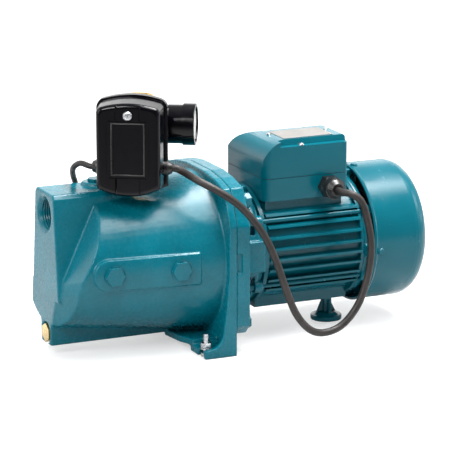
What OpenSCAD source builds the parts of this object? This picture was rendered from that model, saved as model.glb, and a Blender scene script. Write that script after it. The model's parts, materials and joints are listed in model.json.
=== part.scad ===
// Self-priming shallow well jet pump with its pressure switch, gauge and
// five-way fitting. Millimetres. The origin is on the floor midway between the
// two foot bolts, +X runs along the shaft to the fan, +Z is up.

/* [Layout] */
// Height of the shaft above the floor
shaft_h = 90; // [90:0.5:92]
// Joint face between the casing and the motor bracket
joint_x = 28; // [27:0.5:29]
// Suction face of the casing
front_x = -138.5; // [-139:0.5:-135]
// Distance from the shaft plane to the outer side of each foot
half_w = 88; // [87:0.5:90]

/* [Casing] */
// Radius of the cast body at its front
body_r_front = 62; // [61:0.5:63]
// Radius of the cast body at its flange
body_r_rear = 80; // [79:0.5:81]
// Cast wall thickness
wall = 6; // [5.5:0.5:6.5]
// Flange thickness
flange_t = 8; // [7:0.5:9]
// Minor radius of the G1 pipe threads
g1_r = 15.15; // [15:0.05:15.3]
// Height of the suction port above the shaft
suction_rise = 51; // [50:0.5:52]
// Place of the outlet boss along the shaft
outlet_x = -40; // [-42:0.5:-38]
// Place of the filler boss along the shaft
filler_x = -82; // [-83:0.5:-81]
// Place of the foot bolts across the pump
foot_y = 75.5; // [75:0.5:76]
// Foot thickness
foot_t = 8; // [8:0.5:9]
// Place of the flange bolts across the pump
bolt_y = 69; // [68:0.5:70]
// Height of the flange bolts above and below the shaft
bolt_z = 61; // [60:0.5:62]

/* [Hydraulics] */
// Impeller radius
impeller_r = 56; // [54:0.5:58]
// Venturi throat radius
throat_r = 5.5; // [5:0.25:6]
// Nozzle outlet radius
nozzle_r = 2.6; // [2.4:0.1:3]

/* [Motor] */
// Front end of the finned frame
frame_x0 = 66; // [66:0.5:67]
// Rear end of the finned frame
frame_x1 = 180; // [179:0.5:181]
// Radius over the fin tips
fin_r = 63; // [62:0.5:64]
// Distance between fins
fin_pitch = 10.9; // [10.7:0.1:11]
// Fin thickness
fin_t = 2.4; // [2:0.2:3]
// Place of the tie rods across the motor
tie_y = 50; // [50:0.5:51]
// Height of the tie rods above and below the shaft
tie_z = 32.7; // [32.5:0.1:33]
// Fan cover radius
cover_r = 70; // [69:0.5:71]
// Rear end of the fan cover
cover_x1 = 252; // [250:0.5:254]

/* [Terminal box] */
// Front end of the terminal box
box_x0 = 76; // [75:0.5:77]
// Rear end of the terminal box
box_x1 = 168; // [167:0.5:169]
// Half the width of the terminal box
box_y = 46; // [45:0.5:47]
// Underside of the terminal box
box_z0 = 141; // [141:0.5:142]
// Joint between terminal box and lid
box_z1 = 164; // [163:0.5:165]
// Top of the lid
box_z2 = 201; // [200:0.5:202]

/* [Pressure control] */
// Direction the gauge faces, from +X
gauge_turn = -30.5; // [-32:0.5:-29]
// Direction the switch faces, from +X
switch_turn = -120.5; // [-122:0.5:-119]
// Height of the gauge
gauge_z = 222.5; // [222:0.5:223]
// Height of the switch centre
switch_z = 210; // [209:0.5:211]
// Width of the switch cover
cover_w = 63; // [62:0.5:64]

/* [Hidden] */
$fn = 64;

teal = [0.09, 0.46, 0.55];
brass_colour = [0.78, 0.62, 0.33];
zinc = [0.72, 0.73, 0.75];
black = [0.07, 0.07, 0.08];
flange_x0 = joint_x - flange_t;
bracket_x1 = joint_x + 14;
suction_z = shaft_h + suction_rise;
head_top = shaft_h + 73.5;
boss_top = shaft_h + 82;
filler_top = shaft_h + 77;
drain_z = 21;
filler_y = 7;
side_plug_seats = [[-94, 70.4], [-27, 76.8]];
prop_x = 168;
box_gland = [146, 151.5];
fitting_top = 250;
partition_x0 = -104;
partition_x1 = -99;
cover_x0 = 188;
lug_turn = 5;
shaft_r = 7;
front_bearing_x = 58;
rear_bearing_x = 179;
rod_r = 2.5;
clear = 0.05;

// ---------------------------------------------------------------- helpers
module on_shaft(x = 0) translate([x, 0, shaft_h]) rotate([0, 90, 0]) children();
module turned(points) on_shaft() rotate_extrude() polygon(points);
module rod_x(x0, x1, r, y = 0, z = shaft_h)
    translate([x0, y, z]) rotate([0, 90, 0]) cylinder(h = x1 - x0, r = r);
module ring_x(x0, x1, r_out, r_in) turned([[r_in, x0], [r_out, x0], [r_out, x1], [r_in, x1]]);
module hex_x(x0, x1, af, y = 0, z = shaft_h)
    translate([x0, y, z]) rotate([0, 90, 0]) cylinder(h = x1 - x0, r = af / 2 / cos(30), $fn = 6);
module hex_z(z0, z1, af, x = 0, y = 0)
    translate([x, y, z0]) cylinder(h = z1 - z0, r = af / 2 / cos(30), $fn = 6);
// A YZ outline extruded along X; the outline is drawn as [y, z]
module slab_x(x0, x1) translate([x0, 0, 0]) rotate([90, 0, 90]) linear_extrude(x1 - x0) children();
// An XZ outline extruded along Y; the outline is drawn as [x, z]
module slab_y(y0, y1) translate([0, y1, 0]) rotate([90, 0, 0]) linear_extrude(y1 - y0) children();
module both_sides() {
    children();
    mirror([0, 1, 0]) children();
}
function arc(cx, cy, r, a0, a1, n = 8) =
    [for (i = [0 : n]) [cx + r * cos(a0 + (a1 - a0) * i / n), cy + r * sin(a0 + (a1 - a0) * i / n)]];
function flipped(points) = [for (i = [len(points) - 1 : -1 : 0]) [-points[i][0], points[i][1]]];

// ---------------------------------------------------------------- casing
module body_cone(grow, x_start)
    turned([[0, x_start], [body_r_front - 3 + grow, x_start], [body_r_front + grow, x_start + 4],
            [body_r_rear + grow, flange_x0], [body_r_rear + grow, joint_x], [0, joint_x]]);

// Faces that flank the suction head as [side, distance from the middle, lean, rake]: a pair
// that leans back above the shaft, then on the near side a blend and a face swept under, and
// on the far side one raked harder
front_faces = [[-1, 35.5, 27.6, 13.2], [1, 35.5, 27.6, 13.2], [-1, 25.4, 10, 18], [-1, 30, -8, 22],
               [1, 35.5, 3.5, 36]];
// Everything in front of those faces
module front_cut(inset)
    for (f = front_faces)
        translate([front_x + inset, f[0] * f[1], 69]) rotate([0, f[2], -f[0] * f[3]])
            translate([-100, -150, -150]) cube([100, 300, 300]);

module head_outline(inset)
    polygon([[-35.8 + inset, 59], [-25.5 + inset, head_top - 4 - inset], [-21.5 + inset, head_top - inset],
             [21.5 - inset, head_top - inset], [25.5 - inset, head_top - 4 - inset], [35.8 - inset, 59]]);

module flange_outline(bottom) {
    upper = [[half_w, shaft_h + 40], [81, shaft_h + 57], [71, shaft_h + 75], [48, shaft_h + 81],
             [24, shaft_h + 84]];
    polygon(concat([[half_w, bottom]], upper, flipped(upper), [[-half_w, bottom]]));
}

module foot() {
    difference() {
        union() {
            translate([-6, 50, 0]) cube([joint_x + 6, half_w - 50, foot_t]);
            slab_y(half_w - 6, half_w)
                polygon(concat([[-6, 0], [-6, foot_t]], arc(-3, foot_t + 17, 17, -60, -10),
                               [[17.5, 49], [flange_x0 + 1, 96], [joint_x, 96], [joint_x, 0]]));
            // Shelf from the keel out to the foot
            translate([0, 0, foot_t - 2]) linear_extrude(7)
                polygon([[-16, 8], [-12, 38], [-7, 50], [-6, 57], [joint_x, 57], [joint_x, 8]]);
        }
        // Slot for the foot bolt, open to the front, with a pocket for its head below
        translate([0, foot_y, -1]) cylinder(h = 20, r = 4.2);
        translate([-20, foot_y - 4.2, -1]) cube([20, 8.4, 20]);
        translate([0, foot_y, -1]) cylinder(h = 5.6, r = 6.6);
        translate([-20, foot_y - 6.6, -1]) cube([20, 13.2, 5.6]);
    }
}

module side_boss()
    intersection() {
        turned([[0, front_x], [body_r_front + 4.5, front_x], [body_r_rear - 0.8, -6], [0, -6]]);
        translate([0, -50, shaft_h]) rotate([90, 0, 0]) linear_extrude(60) union() {
            translate([-98, 0]) circle(r = 15.5);
            translate([-98, -15.5]) square([95, 31]);
        }
    }

module casing_cavity(x0, x1)
    intersection() {
        rod_x(x0, x1, 120);
        union() {
            difference() {
                body_cone(-wall, front_x + 8);
                front_cut(wall * 1.2);
            }
            slab_x(front_x + 8, -52) head_outline(wall);
        }
    }

module pump_casing() color(teal) {
    difference() {
        union() {
            difference() {
                body_cone(0, front_x);
                front_cut(0);
            }
            slab_x(front_x, -48) head_outline(0);
            side_boss();
            // Keel with the return passage, ending in the drain boss
            slab_x(front_x, joint_x)
                polygon([[-13, 10], [13, 10], [15, 36], [-15, 36]]);
            rod_x(front_x, front_x + 16, 12, 0, drain_z + 1);
            translate([filler_x, filler_y, 120]) cylinder(h = filler_top - 120, r = 13.5);
            translate([outlet_x, 0, 120]) cylinder(h = boss_top - 120, r = 24);
            slab_x(flange_x0, joint_x) flange_outline(foot_t + 2);
            both_sides() foot();
            // Rest pad below the keel
            translate([-1.5, -5, 0]) cube([joint_x + 1.5, 10, 12]);
        }
        casing_cavity(front_x + 8, partition_x0);
        casing_cavity(partition_x1, joint_x + 2);
        // Mouth for the bracket spigot
        rod_x(flange_x0 + 2, joint_x + 1, 74);
        // Suction port
        rod_x(front_x - 1, front_x + 20, g1_r, 0, suction_z);
        translate([front_x - 0.01, 0, suction_z]) rotate([0, 90, 0])
            cylinder(h = 2, r1 = g1_r + 2, r2 = g1_r);
        // Outlet and filler openings
        translate([outlet_x, 0, 130]) cylinder(h = 60, r = g1_r);
        translate([filler_x, filler_y, 130]) cylinder(h = 60, r = 6.6);
        // Drain hole, return passage and its openings
        rod_x(front_x - 1, -68, 6.6, 0, drain_z);
        rod_x(front_x - 1, front_x + 5, 10.5, 0, drain_z);
        translate([-74, 0, drain_z]) cylinder(h = 40, r = 6);
        // Tapped holes of the two side plugs and their machined seats
        for (p = side_plug_seats) translate([p[0], 0, shaft_h]) rotate([90, 0, 0]) {
            cylinder(h = 100, r = 6.6);
            translate([0, 0, p[1] - 0.02]) cylinder(h = 20, r = 10.6);
        }
        // Venturi seat in the partition
        rod_x(partition_x0 - 1, partition_x1 + 1, 16.2);
        for (y = [-bolt_y, bolt_y], z = [-bolt_z, bolt_z])
            rod_x(flange_x0 + 1.5, joint_x + 1, 4.1, y, shaft_h + z);
    }
    // Sleeve of the suction thread, and the nozzle seat fed by the return passage
    // through a hollow column
    difference() {
        union() {
            rod_x(front_x + 7, -116, 15);
            translate([-122, 0, drain_z]) cylinder(h = shaft_h - drain_z, r = 7.5);
            rod_x(front_x + 2.5, front_x + 17, g1_r + 3.5, 0, suction_z);
        }
        rod_x(front_x - 1, front_x + 18, g1_r, 0, suction_z);
        rod_x(front_x + 10, -112, 10);
        translate([-122, 0, drain_z - 1]) cylinder(h = shaft_h - drain_z + 1, r = 4);
        rod_x(front_x - 1, -110, 6.6, 0, drain_z);
    }
}

module casing_seal() color(black)
    on_shaft(joint_x - 3) rotate_extrude() translate([71.6, 0]) circle(r = 1.7, $fn = 24);

module drain_plug() color(brass_colour) {
    hex_x(front_x - 1, front_x + 5, 17, 0, drain_z);
    rod_x(front_x + 4.5, front_x + 15, 6.5, 0, drain_z);
}

module side_plugs() color(teal)
    for (p = side_plug_seats) translate([p[0], -p[1], shaft_h]) rotate([90, 0, 0]) {
        cylinder(h = 5, r = 17 / 2 / cos(30), $fn = 6);
        translate([0, 0, -9]) cylinder(h = 10, r = 6.5);
        cylinder(h = 1.2, r = 10);
    }

module filler_plug() color(teal) {
    hex_z(filler_top + 0.1, filler_top + 3, 14, filler_x, filler_y);
    translate([filler_x, filler_y, filler_top - 11]) cylinder(h = 12, r = 6.5);
}

module foot_bolts() color(zinc) both_sides() {
    hex_z(0.6, 4.5, 10, 0, foot_y);
    translate([0, foot_y, 4]) cylinder(h = 19, r = 3);
}
module foot_washers() color(zinc) both_sides()
    translate([0, foot_y, foot_t + 0.02]) difference() {
        cylinder(h = 1.3, r = 6);
        translate([0, 0, -1]) cylinder(h = 4, r = 3.2);
    }
module foot_nuts() color(zinc) both_sides() difference() {
    hex_z(foot_t + 1.4, foot_t + 6.4, 10, 0, foot_y);
    translate([0, foot_y, 0]) cylinder(h = 30, r = 3.05);
}

// ---------------------------------------------------------------- hydraulics
module jet_nozzle() color([0.85, 0.82, 0.72])
    turned([[6, -126], [9.95, -126], [9.95, -115], [7.5, -113], [nozzle_r + 2.4, -97],
            [nozzle_r, -97], [nozzle_r, -99], [6, -114]]);

module venturi_tube() color([0.16, 0.17, 0.19])
    turned([[12.5, -104], [16.1, -104], [16.1, partition_x1 + 0.1], [19, partition_x1 + 0.1],
            [19, partition_x1 + 4], [11, -88], [11, -78], [15, -40], [15, -24], [11, -24],
            [11, -34], [throat_r, -78], [throat_r, -86]]);

module diffuser() color([0.2, 0.21, 0.23]) {
    difference() {
        turned([[15.1, -36], [19, -36], [19, -17], [67, -14], [67, flange_x0 + 1.5],
                [61, flange_x0 + 1.5], [61, -10], [17.3, -12], [17.3, -23], [15.1, -23]]);
        for (a = [0 : 45 : 315]) on_shaft() rotate([0, 0, a]) translate([50, -9, -7])
            cube([30, 18, 20]);
    }
}

module impeller_vane()
    intersection() {
        translate([0, 30, 0]) difference() {
            cylinder(h = 8, r = 33);
            translate([0, 0, -1]) cylinder(h = 10, r = 30.6);
        }
        difference() {
            translate([0, -1, 0]) cube([60, 60, 8]);
            translate([0, 0, -1]) cylinder(h = 10, r = 15);
        }
        cylinder(h = 8, r = impeller_r - 0.5);
    }

module impeller() color([0.75, 0.66, 0.42]) {
    difference() {
        union() {
            turned([[14, -12], [17.2, -12], [17.2, -4], [impeller_r, -1.5], [impeller_r, 0.5], [14, -2]]);
            turned([[0, 7], [impeller_r, 7.5], [impeller_r, 9.5], [13, 11], [13, 14], [0, 14]]);
            rod_x(-2, 12, 11);
            for (a = [0 : 60 : 300]) on_shaft(-0.5) rotate([0, 0, a]) impeller_vane();
        }
        rod_x(-14, 20, shaft_r + 0.02);
    }
}
module impeller_nut() color(brass_colour) difference() {
    hex_x(-10, -2.1, 17);
    rod_x(-14, 0, 5.05);
}
module seal_head() color([0.15, 0.15, 0.16])
    turned([[shaft_r + clear, 14.1], [12.5, 14.1], [12.5, 16], [11, 16], [11, 18], [12.5, 18],
            [12.5, 20], [11, 20], [11, 21], [12, 21], [12, 23.5], [shaft_r + clear, 23.5]]);
module seal_seat() color([0.85, 0.85, 0.83])
    ring_x(23.6, 31, 14.9, shaft_r + 1.5);

// ---------------------------------------------------------------- bracket
module motor_bracket() color(teal) {
    difference() {
        union() {
            difference() {
                slab_x(joint_x, bracket_x1) intersection() {
                    flange_outline(shaft_h - 70);
                    polygon([[-half_w, shaft_h - 60], [-78, shaft_h - 70], [78, shaft_h - 70],
                             [half_w, shaft_h - 60], [half_w, 200], [-half_w, 200]]);
                }
                ring_x(joint_x + 8, bracket_x1 + 1, 66, 60);
            }
            rod_x(flange_x0 + 2.1, joint_x + 1, 73.9);
            ring_x(joint_x + 5, frame_x0, 60, 52);
            // Ribs along the lantern carry the end shield
            for (a = [0 : 90 : 270]) on_shaft() rotate([0, 0, a])
                translate([50, -16, joint_x + 4]) cube([12, 32, frame_x0 + 1 - joint_x]);
            for (y = [-tie_y, tie_y], z = [-tie_z, tie_z])
                rod_x(frame_x0 - 4, frame_x0 + 5, 6.5, y, shaft_h + z);
            rod_x(front_bearing_x - 4, frame_x0 + 6, 26);
            rod_x(frame_x0, frame_x0 + 5, 58);
            rod_x(frame_x0 + 4, frame_x0 + 10, 51.8);
        }
        // Groove of the O-ring and the seal housing
        on_shaft(joint_x - 3) rotate_extrude() translate([69.8, -2]) square([5, 4]);
        rod_x(flange_x0, 31.1, 15);
        rod_x(0, 100, 9.5);
        // Hollow lantern
        difference() {
            rod_x(joint_x + 8, frame_x0 - 3, 52);
            rod_x(joint_x, 50, 20);
            rod_x(front_bearing_x - 4, 90, 26);
        }
        // Windows between the ribs
        for (a = [45 : 90 : 315]) on_shaft() rotate([0, 0, a])
            translate([40, -24, bracket_x1]) cube([30, 48, frame_x0 - 4 - bracket_x1]);
        rod_x(front_bearing_x, frame_x0 + 20, 20.02);
        ring_x(frame_x0 + 5.01, frame_x0 + 20, 48, 26);
        for (y = [-bolt_y, bolt_y], z = [-bolt_z, bolt_z])
            rod_x(0, 80, 4.3, y, shaft_h + z);
        for (y = [-tie_y, tie_y], z = [-tie_z, tie_z])
            rod_x(frame_x0 - 20, frame_x0 + 20, rod_r + 0.3, y, shaft_h + z);
        // Pry notch in the near edge
        translate([joint_x - 1, -half_w - 1, shaft_h - 7]) cube([7, 4, 20]);
    }
}

module flange_bolts() color(teal)
    for (y = [-bolt_y, bolt_y], z = [-bolt_z, bolt_z]) {
        hex_x(bracket_x1 + 1.6, bracket_x1 + 7, 13, y, shaft_h + z);
        rod_x(bracket_x1 + 0.02, bracket_x1 + 1.7, 7.6, y, shaft_h + z);
        rod_x(flange_x0 + 2, bracket_x1 + 3, 4, y, shaft_h + z);
    }

// ---------------------------------------------------------------- motor
module motor_frame() color(teal) {
    difference() {
        union() {
            rod_x(frame_x0 + 5.02, frame_x1, 56.5);
            rod_x(frame_x0 + 5.02, frame_x0 + 9, 61);
            rod_x(frame_x1 - 3, frame_x1, 61);
            intersection() {
                rod_x(frame_x0 + 10, frame_x1 - 2, fin_r);
                for (k = [-3.5 : 3.5])
                    translate([frame_x0, -100, shaft_h + k * fin_pitch - fin_t / 2])
                        cube([frame_x1 - frame_x0, 200, fin_t]);
            }
            // Flat pad below and seat for the terminal box above
            translate([frame_x0 + 10, -24, shaft_h - fin_r + 1]) cube([frame_x1 - frame_x0 - 12, 48, 20]);
            translate([box_x0 + 4, -box_y + 6, shaft_h + 30])
                cube([box_x1 - box_x0 - 8, 2 * box_y - 12, box_z0 - shaft_h - 30.02]);
        }
        rod_x(frame_x0, frame_x1 + 1, 51.9);
        for (y = [-tie_y, tie_y], z = [-tie_z, tie_z])
            rod_x(frame_x0, frame_x1 + 1, rod_r + 0.4, y, shaft_h + z);
        // Wire passage into the terminal box and the tapped hole of the foot
        translate([120, 0, shaft_h + 40]) cylinder(h = 30, r = 12);
        translate([prop_x, 0, 20]) cylinder(h = 16, r = 2.6);
    }
}
module stator_core() color([0.5, 0.5, 0.52])
    difference() {
        ring_x(94, 164, 51.8, 28);
        for (a = [0 : 15 : 345]) on_shaft() rotate([0, 0, a]) translate([30, -2, 90]) cube([12, 4, 80]);
    }
module stator_windings() color([0.72, 0.36, 0.16])
    for (x = [83.5, 174.5]) on_shaft(x) rotate_extrude() translate([38.5, 0]) circle(r = 9.3);
module tie_rods() color(teal)
    for (y = [-tie_y, tie_y], z = [-tie_z, tie_z]) {
        rod_x(frame_x0 - 5, rear_bearing_x + 13, rod_r, y, shaft_h + z);
        hex_x(frame_x0 - 9, frame_x0 - 4.02, 8, y, shaft_h + z);
        hex_x(rear_bearing_x + 11.05, rear_bearing_x + 15, 8, y, shaft_h + z);
    }
module shaft() color(zinc)
    turned([[0, -14], [5, -14], [5, -2], [shaft_r, -2], [shaft_r, 56], [8.48, 56], [8.48, 76],
            [10, 76], [10, 172], [7.48, 172], [7.48, 192], [6, 192], [6, 226], [0, 226]]);
module rotor_core() color([0.62, 0.62, 0.64]) difference() {
    union() {
        ring_x(90, 168, 25, 10.02);
        ring_x(94, 164, 27.6, 10.02);
    }
    for (a = [0 : 20 : 340]) on_shaft() rotate([0, 0, a]) translate([25.6, -0.8, 90]) cube([6, 1.6, 80]);
}
module bearing_ring(x, w, r_out, r_in, groove_r)
    difference() {
        ring_x(x, x + w, r_out, r_in);
        on_shaft(x + w / 2) rotate_extrude() translate([groove_r, 0]) circle(r = 3.3, $fn = 24);
    }
module bearing_outer_rings() color(zinc) {
    bearing_ring(front_bearing_x + 0.1, 11.9, 20, 16.6, 14.2);
    bearing_ring(rear_bearing_x, 11, 17.5, 14.3, 12.4);
}
module bearing_inner_rings() color(zinc) {
    bearing_ring(front_bearing_x + 0.1, 11.9, 11.8, 8.5, 14.2);
    bearing_ring(rear_bearing_x, 11, 10.5, 7.5, 12.4);
}
module bearing_balls() color("silver") {
    for (a = [0 : 45 : 315]) {
        on_shaft(front_bearing_x + 6.05) rotate([0, 0, a]) translate([14.2, 0, 0]) sphere(r = 3.2, $fn = 24);
        on_shaft(rear_bearing_x + 5.5) rotate([0, 0, a]) translate([12.4, 0, 0]) sphere(r = 3.2, $fn = 24);
    }
    // Cages hold each row of balls at its spacing
    ring_x(front_bearing_x + 1, front_bearing_x + 4, 14.9, 13.5);
    ring_x(rear_bearing_x + 0.6, rear_bearing_x + 3.6, 13.1, 11.7);
}
module rear_shield() color(teal) difference() {
    union() {
        rod_x(frame_x1 + 0.02, frame_x1 + 7, 61);
        rod_x(frame_x1 - 5, frame_x1 + 1, 51.8);
        rod_x(frame_x1 - 5, rear_bearing_x + 14, 23);
        for (y = [-tie_y, tie_y], z = [-tie_z, tie_z])
            rod_x(frame_x1 + 0.02, rear_bearing_x + 11, 6.5, y, shaft_h + z);
        // Lugs that carry the fan cover
        for (a = [0 : 90 : 270]) on_shaft() rotate([0, 0, a + lug_turn]) translate([50, -6, frame_x1 + 1])
            cube([cover_r - 2 - 50, 12, cover_x0 + 12 - frame_x1 - 1]);
    }
    difference() {
        rod_x(frame_x1 - 6, frame_x1 + 4.5, 48);
        rod_x(frame_x1 - 6, frame_x1 + 5, 23);
    }
    rod_x(frame_x1 - 8, frame_x1 + 40, 9.5);
    rod_x(rear_bearing_x - 5, rear_bearing_x + 11.02, 17.52);
    rod_x(frame_x1 + 8, cover_x0 + 20, 62);
    for (y = [-tie_y, tie_y], z = [-tie_z, tie_z])
        rod_x(frame_x1 - 4, frame_x1 + 20, rod_r + 0.3, y, shaft_h + z);
    for (a = [0 : 90 : 270]) on_shaft(cover_x0 + 7) rotate([0, 0, a + lug_turn]) translate([55, 0, 0])
        rotate([0, 90, 0]) cylinder(h = 20, r = 2.1);
}
module cooling_fan() color([0.2, 0.2, 0.22]) difference() {
    union() {
        rod_x(199, 224, 12);
        ring_x(199, 202, 48, 8);
        for (a = [0 : 45 : 315]) on_shaft() rotate([0, 0, a]) translate([10, -1, 200]) cube([46, 2, 22]);
    }
    rod_x(190, 230, 6.02);
}
module fan_cover() color(teal) difference() {
    turned(concat([[cover_r - 1.6, cover_x0], [cover_r, cover_x0], [cover_r + 0.8, cover_x0 + 1.5],
                   [cover_r, cover_x0 + 3]],
                  arc(cover_r - 18, cover_x1 - 18, 18, 0, 90), [[0, cover_x1], [0, cover_x1 - 1.6]],
                  arc(cover_r - 18, cover_x1 - 18, 16.4, 90, 0), [[cover_r - 1.6, cover_x0 + 3]]));
    // Radial air slots in the rear wall
    for (a = [0 : 15 : 345]) on_shaft() rotate([0, 0, a]) translate([20, -1.4, cover_x1 - 8]) cube([32, 2.8, 20]);
    for (a = [0 : 90 : 270]) on_shaft(cover_x0 + 7) rotate([0, 0, a + lug_turn]) translate([60, 0, 0])
        rotate([0, 90, 0]) cylinder(h = 20, r = 2.3);
}
module fan_cover_screws() color(teal)
    for (a = [0 : 90 : 270]) on_shaft(cover_x0 + 7) rotate([0, 0, a + lug_turn]) translate([56, 0, 0])
        rotate([0, 90, 0]) {
            cylinder(h = cover_r - 55.5, r = 2);
            translate([0, 0, cover_r - 55.95]) cylinder(h = 1.9, r1 = 4, r2 = 2.8);
        }
module support_foot() color(teal) difference() {
    union() {
        translate([prop_x, 0, 0]) cylinder(h = 5, r = 16);
        translate([prop_x, 0, 5]) cylinder(h = 3, r1 = 13, r2 = 9);
        translate([prop_x - 4.5, -4.5, 0]) cube([9, 9, shaft_h - fin_r + 0.9]);
        // Webs along and across the motor
        slab_y(-1.5, 1.5)
            polygon([[prop_x - 13, 4], [prop_x + 12, 4], [prop_x + 5, 18], [prop_x - 5, 22]]);
        slab_x(prop_x - 1.5, prop_x + 1.5) polygon([[-13, 4], [13, 4], [5, 20], [-5, 20]]);
    }
    translate([prop_x, 0, -1]) cylinder(h = 8, r = 5);
    translate([prop_x, 0, -1]) cylinder(h = 60, r = 2.7);
}

// ---------------------------------------------------------------- terminal box
// Outline of the terminal box seen from above
module box_plan(inset) {
    far_r = 6 - inset;
    near_r = 8 - inset;
    x0 = box_x0 + inset;
    x1 = box_x1 - inset;
    y1 = box_y - inset;
    polygon(concat(arc(x0 + far_r, y1 - far_r, far_r, 90, 180),
                   arc(x0 + near_r, -y1 + near_r, near_r, 180, 270),
                   arc(x1 - 3, -y1 + 3, 3, 270, 360, 3), arc(x1 - 3, y1 - 3, 3, 0, 90, 3)));
}
module at_gland(y) translate([box_gland[0], y, box_gland[1]]) rotate([90, 0, 0]) children();
module box_base() color(teal) difference() {
    translate([0, 0, box_z0]) linear_extrude(box_z1 - box_z0 - 0.6) box_plan(0);
    // The floor is a saddle over the round frame
    difference() {
        translate([0, 0, box_z0 + 3]) linear_extrude(40) box_plan(3);
        rod_x(box_x0, box_x1, 59.6);
    }
    rod_x(box_x0 - 1, box_x1 + 1, 56.52);
    translate([120, 0, box_z0 - 1]) cylinder(h = 20, r = 12);
    at_gland(-box_y + 10) cylinder(h = 20, r = 6.6);
}
module box_gasket() color(black) translate([0, 0, box_z1 - 0.58]) difference() {
    linear_extrude(0.56) box_plan(0.8);
    translate([0, 0, -1]) linear_extrude(3) box_plan(3);
}
// The lid has a round shoulder at the front and falls away in an ellipse at the back
module lid_shape(inset)
    intersection() {
        translate([0, 0, box_z1]) linear_extrude(60) box_plan(inset);
        slab_y(-60, 60) polygon(concat([[box_x0 + inset, 150]],
            arc(box_x0 + 25, box_z2 - 25, 25 - inset, 180, 90, 12),
            [[box_x1 - inset - 2, box_z2 - inset], [box_x1 - inset, box_z2 - inset - 2], [box_x1 - inset, 150]]));
        slab_x(60, 190) polygon(concat([[-box_y + inset, 150], [-box_y + inset, box_z2 - inset]],
            [for (a = [90 : -7.5 : 0])
                [2 + (box_y - 2 - inset) * cos(a), box_z2 - 32 + (32 - inset) * sin(a)]],
            [[box_y - inset, 150]]));
    }
module box_lid() color(teal) difference() {
    lid_shape(0);
    difference() {
        lid_shape(2.5);
        translate([box_x0, -box_y, box_z2 - 9]) cube([200, 10, 10]);
    }
    // Ledge along the near edge
    slab_x(box_x0 + 18, box_x1 + 1) polygon([[-box_y - 1, box_z2 - 6.5], [-box_y + 6, box_z2 - 6],
                                             [-box_y + 8, box_z2 + 1], [-box_y - 1, box_z2 + 1]]);
    translate([118, -box_y + 3, box_z2 - 30]) cylinder(h = 40, r = 1.6);
    for (x = [98, 161]) translate([x, -9, box_z2 - 10]) cylinder(h = 20, r = 1.6);
}
module box_screws() color(zinc) {
    translate([118, -box_y + 3, box_z2 - 5.98]) cylinder(h = 2, r1 = 2.9, r2 = 1.8);
    translate([118, -box_y + 3, box_z2 - 14]) cylinder(h = 8.5, r = 1.5);
    for (x = [98, 161]) {
        translate([x, -9, box_z2 + 0.02]) cylinder(h = 1.3, r1 = 2.6, r2 = 1.6);
        translate([x, -9, box_z2 - 6]) cylinder(h = 6.5, r = 1.5);
    }
}
module rating_plate() color([0.85, 0.83, 0.8])
    translate([102, -36, box_z2 + 0.02]) difference() {
        cube([54, 36, 0.5]);
        for (x = [3, 51], y = [3, 33]) translate([x, y, -1]) cylinder(h = 3, r = 0.8);
    }
module capacitor() color([0.9, 0.9, 0.88]) rod_x(92, 156, 14, 22, box_z1 + 12);
module terminal_block() color([0.85, 0.8, 0.7]) difference() {
    translate([98, -30, box_z0 + 8.7]) cube([46, 20, 12]);
    for (x = [104 : 8 : 140]) translate([x, -20, box_z0 + 13]) cylinder(h = 10, r = 2);
}
module cable_gland() color(black) at_gland(-box_y + 8) difference() {
    union() {
        cylinder(h = 26, r = 6.5);
        translate([0, 0, 8.02]) cylinder(h = 9, r = 11.6, $fn = 6);
        cylinder(h = 4.9, r = 7.4);
    }
    translate([0, 0, -1]) cylinder(h = 40, r = 4.2);
}
module gland_nut() color(black) at_gland(-box_y + 8) difference() {
    union() {
        translate([0, 0, 17.1]) cylinder(h = 9, r = 10.8);
        translate([0, 0, 26.1]) cylinder(h = 5, r1 = 10, r2 = 6.4);
    }
    translate([0, 0, 10]) cylinder(h = 16.05, r = 6.55);
    translate([0, 0, 20]) cylinder(h = 40, r = 4.2);
}

// ---------------------------------------------------------------- cables
// Catmull-Rom curve through the points, n steps a span
function spline(p, n) = [
    for (i = [0 : len(p) - 2], j = [0 : n - 1])
        let (a = p[max(i - 1, 0)], b = p[i], c = p[i + 1], d = p[min(i + 2, len(p) - 1)], t = j / n)
            0.5 * (2 * b + (c - a) * t + (2 * a - 5 * b + 4 * c - d) * t * t
                   + (3 * b - a - 3 * c + d) * t * t * t),
    p[len(p) - 1]
];
function unit(v) = v / norm(v);
// Frames carried along the curve without twist
function carried(path, i, side) =
    i >= len(path) ? [] :
    let (fwd = unit(path[min(i + 1, len(path) - 1)] - path[max(i - 1, 0)]),
         s = unit(side - fwd * (side * fwd)))
        concat([[s, cross(fwd, s)]], carried(path, i + 1, s));
module tube(path, r, side, n = 10) {
    frames = carried(path, 0, side);
    rings = [for (i = [0 : len(path) - 1], k = [0 : n - 1])
        path[i] + r * (cos(360 * k / n) * frames[i][0] + sin(360 * k / n) * frames[i][1])];
    last = len(path) - 1;
    sides = [for (i = [0 : last - 1], k = [0 : n - 1])
        [(i + 1) * n + k, (i + 1) * n + (k + 1) % n, i * n + (k + 1) % n, i * n + k]];
    caps = [[for (k = [0 : n - 1]) k], [for (k = [n - 1 : -1 : 0]) last * n + k]];
    polyhedron(rings, concat(sides, caps), convexity = 10);
}
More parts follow.
